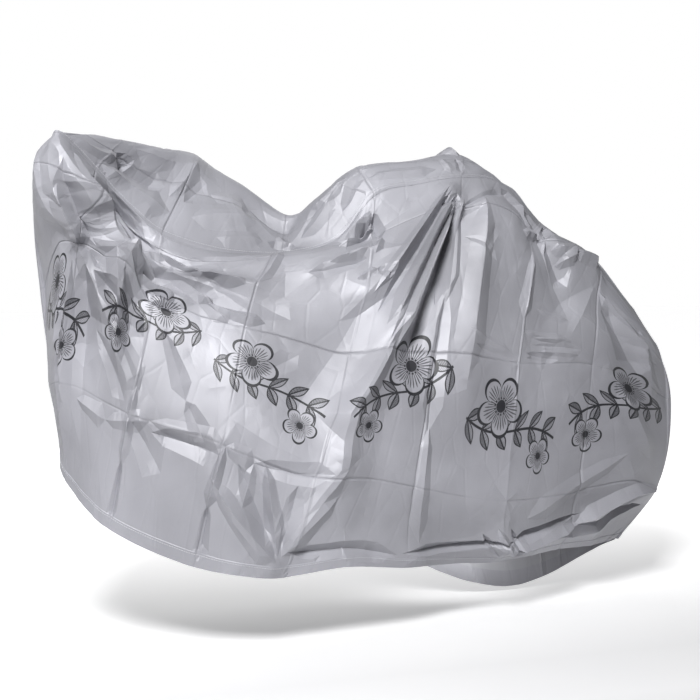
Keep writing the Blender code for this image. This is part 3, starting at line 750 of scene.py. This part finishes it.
# %% [markdown]
# ## From surface to film
# The real film is a fifth of a millimetre thick. It could be left as a bare surface, but a
# closed sheet has an edge that shows at the hem and can be printed or weighed. So the surface
# is taken twice, once for each face of the film, and the two are joined all round. The lapped
# seam and the turned-up hem are film on film, so the outer face stands a little prouder there.

# %% Film meshes
LAP_THICKNESS = 0.0010
HEM_THICKNESS = 0.0009
UV_NAME = "flat_cut"
SHARP_FROM = math.radians(10)


def outer_height(flat, lap):
    """Half the film's thickness, plus the lap beside the sewn edges, plus the turned-up hem."""
    s, t = flat[:, 0], flat[:, 1]
    at_seam = np.minimum(np.minimum(s, PANEL_LENGTH - s), t)
    height = np.full_like(s, FILM_THICKNESS / 2)
    height += LAP_THICKNESS * (at_seam <= lap + 0.0002)
    height += HEM_THICKNESS * (t >= PANEL_HEIGHT - HEM_HEIGHT - 0.0002)
    return height


def film_mesh(name, flat, triangles, hangs, normals, side, lap, materials):
    """Two copies of the surface, one for each face of the film, joined by a rim. The faces carry
    the flat cut as their UV map, and the inner ones the second material, up to the hem, where
    the film is turned up."""
    count = len(flat)
    outer = hangs + normals * outer_height(flat, lap)[:, None]
    inner = hangs - normals * FILM_THICKNESS / 2
    ring = np.concatenate([row_of(flat, 0.0), row_of(flat, PANEL_LENGTH, 0)[1:],
                           row_of(flat, PANEL_HEIGHT)[-2::-1], row_of(flat, 0.0, 0)[-2:0:-1]])
    after = np.roll(ring, -1)
    rim = np.concatenate([np.stack([ring, after + count, after], axis=1),
                          np.stack([ring, ring + count, after + count], axis=1)])
    faces = np.concatenate([triangles, triangles[:, ::-1] + count, rim])
    if side < 0:
        faces = faces[:, ::-1]
    mesh = bpy.data.meshes.new(name)
    mesh.from_pydata(np.concatenate([outer, inner]), [], faces)
    on_map = flat / (PANEL_LENGTH, PANEL_HEIGHT)
    on_map = np.stack([on_map[:, 0], 1 - on_map[:, 1]], axis=1)
    on_map = np.concatenate([on_map, on_map])
    corner_vertex = np.empty(len(mesh.loops), dtype=np.int32)
    mesh.loops.foreach_get("vertex_index", corner_vertex)
    layer = mesh.uv_layers.new(name=UV_NAME)
    layer.data.foreach_set("uv", on_map[corner_vertex].astype(np.float32).ravel())
    for material in materials:
        mesh.materials.append(material)
    slots = np.zeros(len(faces), dtype=np.int32)
    plain_back = flat[triangles, 1].max(axis=1) <= PANEL_HEIGHT - HEM_HEIGHT + 1e-6
    slots[len(triangles):2 * len(triangles)] = plain_back
    mesh.polygons.foreach_set("material_index", slots)
    mesh.update()
    mesh.shade_smooth()
    mesh.set_sharp_from_angle(angle=SHARP_FROM)
    piece = bpy.data.objects.new(name, mesh)
    bpy.context.scene.collection.objects.link(piece)
    print(name, "triangles:", len(faces))
    return piece

# %% [markdown]
# ## The film's finish
# The film is clear plastic filled with fine aluminium flake and pearl. It could be painted a
# plain grey, but its look is in how it mirrors softly: a surface that is a little metallic and
# of middling roughness, so that each small plane between creases takes its own even tone.
# Colour, roughness, the packing lines and the finest wrinkles all follow the flat cut. Along the
# packing lines the colour is also darkened, a painted shade in the pressed creases.

# %% Readings: numbers worked out by nodes
class Reading:
    """A number that nodes work out at each place. Sums, products and comparisons of readings are
    written with plain signs, and each sign adds one math node. A comparison gives one where it
    holds and nothing elsewhere, and the bar | takes the larger of two readings."""
    def __init__(self, tree, socket):
        self.tree, self.socket = tree, socket

    def by(self, how, *others):
        return calculated(self.tree, how, self, *others)

    def __add__(self, other):
        return self.by("ADD", other)

    def __sub__(self, other):
        return self.by("SUBTRACT", other)

    def __rsub__(self, other):
        return calculated(self.tree, "SUBTRACT", other, self)

    def __mul__(self, other):
        return self.by("MULTIPLY", other)

    def __truediv__(self, other):
        return self.by("DIVIDE", other)

    def __mod__(self, other):
        return self.by("FLOORED_MODULO", other)

    def __pow__(self, other):
        return self.by("POWER", other)

    def __abs__(self):
        return self.by("ABSOLUTE")

    def __lt__(self, other):
        return self.by("LESS_THAN", other)

    def __gt__(self, other):
        return self.by("GREATER_THAN", other)

    def __or__(self, other):
        return self.by("MAXIMUM", other)


def joined(tree, value, socket):
    """A node's output is linked to the socket, and a plain number or colour is set on it."""
    if isinstance(value, Reading):
        value = value.socket
    if isinstance(value, bpy.types.NodeSocket):
        tree.links.new(value, socket)
    else:
        socket.default_value = value


def calculated(tree, how, *values):
    node = tree.nodes.new("ShaderNodeMath")
    node.operation = how
    for value, socket in zip(values, node.inputs):
        joined(tree, value, socket)
    return Reading(tree, node.outputs[0])


# %% More nodes
def apart_in_xyz(tree, vector):
    split = tree.nodes.new("ShaderNodeSeparateXYZ")
    tree.links.new(vector, split.inputs[0])
    return [Reading(tree, split.outputs[axis]) for axis in "XYZ"]


def blend(tree, share, first, second):
    """The weighted mean of two colours."""
    node = tree.nodes.new("ShaderNodeMix")
    node.data_type = "RGBA"
    for name, value in (("Factor", share), ("A", first), ("B", second)):
        joined(tree, value, node.inputs[name])
    return node.outputs["Result"]


def noise(tree, place, scale, detail=2.0):
    node = tree.nodes.new("ShaderNodeTexNoise")
    tree.links.new(place, node.inputs["Vector"])
    node.inputs["Scale"].default_value = scale
    node.inputs["Detail"].default_value = detail
    node.inputs["Roughness"].default_value = 0.5
    return Reading(tree, node.outputs["Fac"])


def spread(reading, low, high, to_low, to_high):
    """Maps a range onto another one and stops at its ends."""
    node = reading.tree.nodes.new("ShaderNodeMapRange")
    joined(reading.tree, reading, node.inputs["Value"])
    for name, number in zip(("From Min", "From Max", "To Min", "To Max"),
                            (low, high, to_low, to_high)):
        node.inputs[name].default_value = number
    return Reading(reading.tree, node.outputs["Result"])


def bump(tree, height, strength, depth):
    node = tree.nodes.new("ShaderNodeBump")
    node.inputs["Strength"].default_value = strength
    node.inputs["Distance"].default_value = depth
    joined(tree, height, node.inputs["Height"])
    return node.outputs["Normal"]


def flat_place(tree):
    """The place on the flat cut in metres: the UV map times the sheet's two sizes."""
    uv = tree.nodes.new("ShaderNodeUVMap")
    uv.uv_map = UV_NAME
    scale = tree.nodes.new("ShaderNodeVectorMath")
    scale.operation = "MULTIPLY"
    scale.inputs[1].default_value = (PANEL_LENGTH, PANEL_HEIGHT, 1)
    tree.links.new(uv.outputs["UV"], scale.inputs[0])
    return scale.outputs[0]


def new_material(name):
    material = bpy.data.materials.new(name)
    material.use_nodes = True
    return material, material.node_tree, material.node_tree.nodes["Principled BSDF"]


print("flat place from UV map", UV_NAME)

# %% [markdown]
# ## The printed row
# A cover of this kind is printed with one row of dark pictures at half height. This one gets
# plain garden sprigs: a five-petalled flower, a small one and a leafy stem in each repeat,
# turned over in every second one. The drawing is worked out in the shader as distances from
# curves, as an engraver would draw it with outlines, veins and hatching. Drawn this way it
# bends with every fold, as ink on film does.

# %% The print, as a mask of ink
REPEAT = PANEL_LENGTH / 6
ROW_FROM_TOP = 0.60
ROW_STAGGER = 0.030
STEM_START, STEM_END = -0.156, 0.156
STEM_WAVE = 0.022
LEAF_PITCH = 0.052
LEAF_LENGTH = 0.062
LEAF_HALF_WIDTH = 0.0135
LEAF_TURN = math.radians(52)
HATCH_PITCH = 0.0042
INK_LINE = 0.0032


def petals(x, y, size):
    """Ink of a five-petalled flower. The petal edge is a radius that swells and sinks five times
    round the centre, and ink lies near that edge, along fine lines that run out from the
    centre, in a dark eye and in a ring of dots about it."""
    radius = (x * x + y * y).by("SQRT") / size
    angle = y.by("ARCTAN2", x)
    swell = abs((angle * 2.5).by("COSINE"))
    share = radius / (swell ** 0.55 * 0.50 + 0.50)
    inside = share < 1.0
    outline = share.by("COMPARE", 0.95, 0.055)
    fine = (angle * 35.0).by("SINE")
    veins = (fine > 0.05) * (share < fine * 0.16 + 0.60)
    dots = ((angle * 14.0).by("SINE") > 0.1) * radius.by("COMPARE", 0.26, 0.035)
    notches = (swell < 0.05) * inside
    eye = radius < 0.20
    return outline | veins * 0.8 | notches | dots | eye, inside


def sprig(x, y):
    """Ink of a leafy stem. The stem is a shallow wave. The plane is folded along it and cut into
    even lengths, so one leaf drawn at a slant becomes pairs of leaves all the way."""
    side = abs(y - (x * 17.0).by("SINE") * STEM_WAVE)
    step = (x - STEM_START) % LEAF_PITCH
    on_stem = (x > STEM_START) * (x < STEM_END)
    cosine, sine = math.cos(LEAF_TURN), math.sin(LEAF_TURN)
    run = step * cosine + side * sine
    across = side * cosine - step * sine + 0.004
    share = (run / LEAF_LENGTH).by("MAXIMUM", 0.0).by("MINIMUM", 1.0)
    half = (share * math.pi).by("SINE") * LEAF_HALF_WIDTH
    width = abs(across)
    inside = (width < half) * on_stem
    rim = width > half - INK_LINE
    rib = width < INK_LINE * 0.6
    hatch = ((run - width) / HATCH_PITCH).by("FRACT") < (across > 0.0) * 0.45 + 0.35
    leaf = inside * (rim | rib | hatch * 0.85)
    return leaf | (side < INK_LINE) * on_stem


def ink_mask(tree, place):
    """How much ink lies at a place: in each repeat the drawing is centred, staggered up or down,
    turned over in every second repeat and tilted by its own small angle."""
    s, up, _ = apart_in_xyz(tree, place)
    number = (s / REPEAT).by("FLOOR")
    turned = number % 2.0 * -2.0 + 1.0
    x = (s - (number + 0.5) * REPEAT) * turned
    y = up - (PANEL_HEIGHT - ROW_FROM_TOP) + turned * ROW_STAGGER
    tilt = (number * 2.4 + 0.7).by("SINE") * 0.22 + 0.38
    cosine, sine = tilt.by("COSINE"), tilt.by("SINE")
    x, y = x * cosine - y * sine, x * sine + y * cosine
    far_half = x > 0.035
    flower, covers = petals(x - (far_half * 0.175 - 0.062), y - (far_half * -0.085 + 0.046),
                            far_half * -0.032 + 0.078)
    return sprig(x, y) * (1.0 - covers) | flower


print("printed repeats:", round(PANEL_LENGTH / REPEAT))

# %% The film, outside and inside
FILM_LIGHT = (0.330, 0.330, 0.362, 1.0)
FILM_SHADE = (0.240, 0.240, 0.263, 1.0)
BACK_LIGHT = (0.35, 0.35, 0.375, 1.0)
BACK_SHADE = (0.27, 0.27, 0.29, 1.0)
INK = (0.018, 0.018, 0.022, 1.0)
PRESSED_LINE = 0.0030
WRINKLE_DEPTH = 0.0016


def pressed_lines(tree, place):
    """How near a place is to a line of the packing grid: one on the line and nothing beside it,
    times a noise, since the lines are worn away in parts."""
    s, up, _ = apart_in_xyz(tree, place)
    apart = abs((s * (1 / COLUMN) + 0.5).by("FRACT") - 0.5) * COLUMN
    for level in PACKING_ACROSS:
        apart = apart.by("MINIMUM", abs(up - (PANEL_HEIGHT - level)))
    worn = spread(noise(tree, place, 5.0), 0.38, 0.60, 0.15, 1.0)
    return spread(apart, 0.0, PRESSED_LINE, 1.0, 0.0) * worn


def wrinkle_bump(tree, place, strength):
    """The finest wrinkles: a stretched noise, an even finer one, the thin network of lines
    between the cells of a Voronoi pattern and the packing grid, added up as a height."""
    stretch = tree.nodes.new("ShaderNodeMapping")
    stretch.inputs["Scale"].default_value = (1.0, 0.55, 1.0)
    stretch.inputs["Rotation"].default_value = (0, 0, 0.5)
    tree.links.new(place, stretch.inputs["Vector"])
    cells = tree.nodes.new("ShaderNodeTexVoronoi")
    cells.feature = "DISTANCE_TO_EDGE"
    cells.inputs["Scale"].default_value = 15.0
    tree.links.new(stretch.outputs["Vector"], cells.inputs["Vector"])
    lines = spread(Reading(tree, cells.outputs["Distance"]), 0.0, 0.07, 0.0, 1.0)
    height = (noise(tree, stretch.outputs["Vector"], 24.0, 3.0) * 1.2
              + noise(tree, place, 150.0) * 0.10 + lines * 0.40
              + pressed_lines(tree, place) * -0.9)
    return bump(tree, height, strength, WRINKLE_DEPTH)


def outer_film():
    material, tree, shader = new_material("silver_film")
    place = flat_place(tree)
    patches = spread(noise(tree, place, 3.2, 3.0), 0.35, 0.65, 0.0, 1.0)
    flakes_and_crease_shade = spread(noise(tree, place, 900.0, 1.0), 0.3, 0.7, 0.94, 1.06)
    # painted shade: the colour is darkened by up to 22 % along the packing lines, as shade in the
    # pressed creases
    flakes_and_crease_shade = flakes_and_crease_shade * (pressed_lines(tree, place) * -0.22 + 1.0)
    flake_tone_and_crease_shade = tree.nodes.new("ShaderNodeVectorMath")
    flake_tone_and_crease_shade.operation = "SCALE"
    joined(tree, blend(tree, patches, FILM_SHADE, FILM_LIGHT), flake_tone_and_crease_shade.inputs[0])
    joined(tree, flakes_and_crease_shade, flake_tone_and_crease_shade.inputs["Scale"])
    ink = ink_mask(tree, place)
    joined(tree, blend(tree, ink, flake_tone_and_crease_shade.outputs[0], INK), shader.inputs["Base Color"])
    joined(tree, ink * -0.12 + 0.12, shader.inputs["Metallic"])
    joined(tree, spread(noise(tree, place, 9.0), 0.3, 0.7, 0.50, 0.58), shader.inputs["Roughness"])
    joined(tree, wrinkle_bump(tree, place, 0.60), shader.inputs["Normal"])
    return material


def inner_film():
    """The back of the film has no pearl, so it is duller."""
    material, tree, shader = new_material("film_back")
    place = flat_place(tree)
    tone = blend(tree, noise(tree, place, 4.0, 3.0), BACK_SHADE, BACK_LIGHT)
    joined(tree, tone, shader.inputs["Base Color"])
    shader.inputs["Metallic"].default_value = 0.15
    shader.inputs["Roughness"].default_value = 0.5
    joined(tree, wrinkle_bump(tree, place, 0.35), shader.inputs["Normal"])
    return material


film_materials = [outer_film(), inner_film()]
print("nodes in the film's material:", len(film_materials[0].node_tree.nodes))

# %% Lay out both sheets
near_film = film_mesh("film_near", near_flat, near_triangles, near_hangs, near_normals, -1,
                      LAP_NEAR, film_materials)
far_film = film_mesh("film_far", far_flat, far_triangles, far_hangs, far_normals, 1, LAP_FAR,
                     film_materials)

# %% [markdown]
# ## Stitches
# The lap is held by one row of stitches a little above its edge, and the hem by another. A
# bump line would do from afar, but the small threads catch the light on the turned edges.
# Every stitch is the same slim spindle of a few faces, carried along the seam's own line.

# %% Stitches along a line
STITCH_PITCH = 0.0062
STITCH_LENGTH = 0.0044
STITCH_RADIUS = 0.00045
SPINDLE = np.array([[-0.5, 0.15], [-0.3, 1.0], [0.3, 1.0], [0.5, 0.15]])


def stitch_row(line, normals):
    """Spindles at even distances along a line: rings of four points at four places along each,
    whose radius follows the spindle's profile. Returns points and faces."""
    lengths = np.append(0, np.cumsum(np.linalg.norm(np.diff(line, axis=0), axis=1)))
    at = np.arange(STITCH_PITCH, lengths[-1] - STITCH_PITCH, STITCH_PITCH)
    middle = np.stack([np.interp(at, lengths, line[:, k]) for k in range(3)], axis=1)
    ahead = np.stack([np.interp(at + 0.002, lengths, line[:, k]) for k in range(3)], axis=1)
    up = unit(np.stack([np.interp(at, lengths, normals[:, k]) for k in range(3)], axis=1))
    forward = unit(ahead - middle)
    aside = unit(np.cross(forward, up))
    turns = np.arange(4) * np.pi / 2
    ring = np.stack([np.cos(turns), np.sin(turns)], axis=1) * STITCH_RADIUS
    points = (middle[:, None, None]
              + forward[:, None, None] * SPINDLE[None, :, None, :1] * STITCH_LENGTH
              + aside[:, None, None] * ring[None, None, :, :1] * SPINDLE[None, :, None, 1:]
              + up[:, None, None] * ring[None, None, :, 1:] * SPINDLE[None, :, None, 1:])
    first = np.arange(len(at))[:, None, None] * 16
    hoop = np.arange(3)[None, :, None] * 4
    corner = np.arange(4)[None, None, :]
    after = (corner + 1) % 4
    sides = np.stack([first + hoop + corner, first + hoop + 4 + corner,
                      first + hoop + 4 + after, first + hoop + after], axis=-1).reshape(-1, 4)
    start_cap = first[:, :, 0] + np.array([0, 1, 2, 3])
    end_cap = first[:, :, 0] + np.array([15, 14, 13, 12])
    return points.reshape(-1, 3), np.concatenate([sides, start_cap, end_cap])


def stitch_piece(name, rows, material):
    """All the rows of stitches of one sheet, joined in one mesh."""
    points, faces, count = [], [], 0
    for line, normals in rows:
        row_points, row_faces = stitch_row(line, normals)
        points.append(row_points)
        faces.append(row_faces + count)
        count += len(row_points)
    mesh = bpy.data.meshes.new(name)
    mesh.from_pydata(np.concatenate(points), [], np.concatenate(faces))
    mesh.materials.append(material)
    mesh.shade_smooth()
    piece = bpy.data.objects.new(name, mesh)
    bpy.context.scene.collection.objects.link(piece)
    print(name, "stitches:", count // 16, "faces:", len(mesh.polygons))
    return piece


def thread_material():
    """Twisted grey thread: a fine noise between two greys along the piece's own coordinates, which
    also bumps it.
    """
    material, tree, shader = new_material("grey_thread")
    place = tree.nodes.new("ShaderNodeTexCoord").outputs["Object"]
    twist = noise(tree, place, 700.0)
    tone = blend(tree, twist, (0.42, 0.42, 0.45, 1.0), (0.66, 0.66, 0.70, 1.0))
    joined(tree, tone, shader.inputs["Base Color"])
    shader.inputs["Roughness"].default_value = 0.7
    joined(tree, bump(tree, twist, 0.5, 0.0003), shader.inputs["Normal"])
    return material


# %% Place the rows of stitches
def stitch_line(flat, hangs, normals, lap, level, axis=1):
    """The film's outer face along one line of the flat cut, with the normals there."""
    on = row_of(flat, level, axis)
    outer = hangs + normals * (outer_height(flat, lap)[:, None] + STITCH_RADIUS * 0.4)
    return outer[on], normals[on]


thread = thread_material()
far_sheet = (far_flat, far_hangs, far_normals, LAP_FAR)
far_rows = [stitch_line(*far_sheet, SEAM_STITCH), stitch_line(*far_sheet, HEM_STITCH),
            stitch_line(*far_sheet, SEAM_STITCH, 0),
            stitch_line(*far_sheet, PANEL_LENGTH - SEAM_STITCH, 0)]
near_rows = [stitch_line(near_flat, near_hangs, near_normals, LAP_NEAR, HEM_STITCH)]
far_stitches = stitch_piece("stitches_far", far_rows, thread)
near_stitches = stitch_piece("stitches_near", near_rows, thread)

# %% [markdown]
# ## Floor, light and camera
# A satin film shows what stands round it, so the light is the other half of its look: a large
# soft window from the upper left in front, hardly any fill, and a dim room. The floor is pale
# where it can be seen and dark nearer the camera, for a bright floor would wash out the folds.
# The floor also glows, faintly in front and almost fully behind the cover: a painted light that
# lifts the cover's shadow on the floor.
# One small lamp under the cover does what a bright floor would: it lifts the open hem.

# %% Floor and sky
CAMERA_AIM = Vector((-0.314, 0.0, -0.507))
FLOOR_DROP = 0.012
FLOOR_REACH = 30.0
ROOM_TONE = (0.02, 0.02, 0.023, 1.0)
WHITE = (1.0, 1.0, 1.0, 1.0)


def pale_floor():
    lowest = float(min(near_hangs[:, 2].min(), far_hangs[:, 2].min()))
    across, back = np.meshgrid([-FLOOR_REACH, FLOOR_REACH], [-FLOOR_REACH, FLOOR_REACH])
    places = np.stack([across, back, np.full_like(across, lowest - FLOOR_DROP)], axis=-1)
    mesh = bpy.data.meshes.new("floor")
    mesh.from_pydata(places.reshape(-1, 3), [], [(0, 1, 3, 2)])
    material, tree, shader = new_material("pale_floor")
    place = tree.nodes.new("ShaderNodeTexCoord").outputs["Object"]
    tone = blend(tree, noise(tree, place, 2.0), (0.66, 0.66, 0.67, 1), (0.70, 0.70, 0.70, 1))
    _, y, _ = apart_in_xyz(tree, place)
    front = spread(y, -1.7, -0.9, 1.0, 0.0)
    tone = blend(tree, front, tone, (0.20, 0.20, 0.205, 1))
    joined(tree, tone, shader.inputs["Base Color"])
    shader.inputs["Roughness"].default_value = 0.6
    shader.inputs["Specular IOR Level"].default_value = 0.1
    # painted light: the floor glows from 0.08 in front to 0.92 behind the cover, which lifts the
    # cover's shadow on it
    floor_glow_lifting_shadow = spread(y, -0.6, 1.0, 0.08, 0.92)
    shader.inputs["Emission Color"].default_value = WHITE
    joined(tree, floor_glow_lifting_shadow, shader.inputs["Emission Strength"])
    mesh.materials.append(material)
    floor = bpy.data.objects.new("floor", mesh)
    bpy.context.scene.collection.objects.link(floor)
    print("floor at", round(lowest - FLOOR_DROP, 3))


def studio_sky():
    """A white backdrop low behind the cover, and a dim room in every other direction: the share
    of backdrop rises with the direction's Y and falls with its height."""
    world = bpy.data.worlds.new("studio")
    world.use_nodes = True
    tree = world.node_tree
    background = tree.nodes["Background"]
    direction = tree.nodes.new("ShaderNodeTexCoord").outputs["Generated"]
    _, y, z = apart_in_xyz(tree, direction)
    backdrop = spread(y, 0.45, 0.80, 0.0, 1.0) * spread(z, 0.22, 0.40, 1.0, 0.0)
    joined(tree, blend(tree, backdrop, ROOM_TONE, WHITE), background.inputs["Color"])
    background.inputs["Strength"].default_value = 1.0
    bpy.context.scene.world = world


pale_floor()
studio_sky()

# %% Lights and camera
CAMERA_TURN = math.radians(-21)
CAMERA_RISE = math.radians(3)
CAMERA_DISTANCE = 3.72
CAMERA_LENS = 74.57
LIGHTS = [
    dict(name="window", place=(-2.2, -3.4, 2.6), size=(1.3, 1.3), watts=405),
    dict(name="low_front", place=(-1.2, -4.0, -0.95), size=(3.0, 0.35), watts=8),
    dict(name="front_right", place=(1.2, -3.8, 0.6), size=(1.6, 1.6), watts=2),
    dict(name="behind", place=(1.2, 3.2, 1.8), size=(2.4, 1.6), watts=22),
    dict(name="under_hem", place=(0.02, 0.0, -1.00), size=(0.36, 0.06), watts=0.5,
         target=(0.10, 0.30, -1.13)),
]


def aimed(obj, place, target):
    obj.location = place
    obj.rotation_euler = (Vector(target) - Vector(place)).to_track_quat("-Z", "Y").to_euler()
    bpy.context.scene.collection.objects.link(obj)


for light in LIGHTS:
    lamp = bpy.data.lights.new(light["name"], "AREA")
    lamp.shape = "RECTANGLE"
    lamp.size, lamp.size_y = light["size"]
    lamp.energy = light["watts"]
    aimed(bpy.data.objects.new(light["name"], lamp), light["place"],
          light.get("target", CAMERA_AIM))

lens = bpy.data.cameras.new("camera")
lens.lens = CAMERA_LENS
lens.sensor_width = 36.0
camera = bpy.data.objects.new("camera", lens)
outwards = Vector((math.sin(CAMERA_TURN) * math.cos(CAMERA_RISE),
                   -math.cos(CAMERA_TURN) * math.cos(CAMERA_RISE), math.sin(CAMERA_RISE)))
aimed(camera, CAMERA_AIM + outwards * CAMERA_DISTANCE, CAMERA_AIM)
bpy.context.scene.camera = camera
bpy.context.scene.view_settings.view_transform = "Standard"
print("camera at", [round(value, 3) for value in camera.location])

# %% [markdown]
# ## Hand over to the frame
# Both sheets ride on the one body and stand for the plain solids, which are hidden.

# %% Attach and finish
for piece, node in ((near_film, "panel_near"), (far_film, "panel_far")):
    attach(piece, "root")
    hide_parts(node)
for piece in (near_stitches, far_stitches):
    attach(piece, "root")
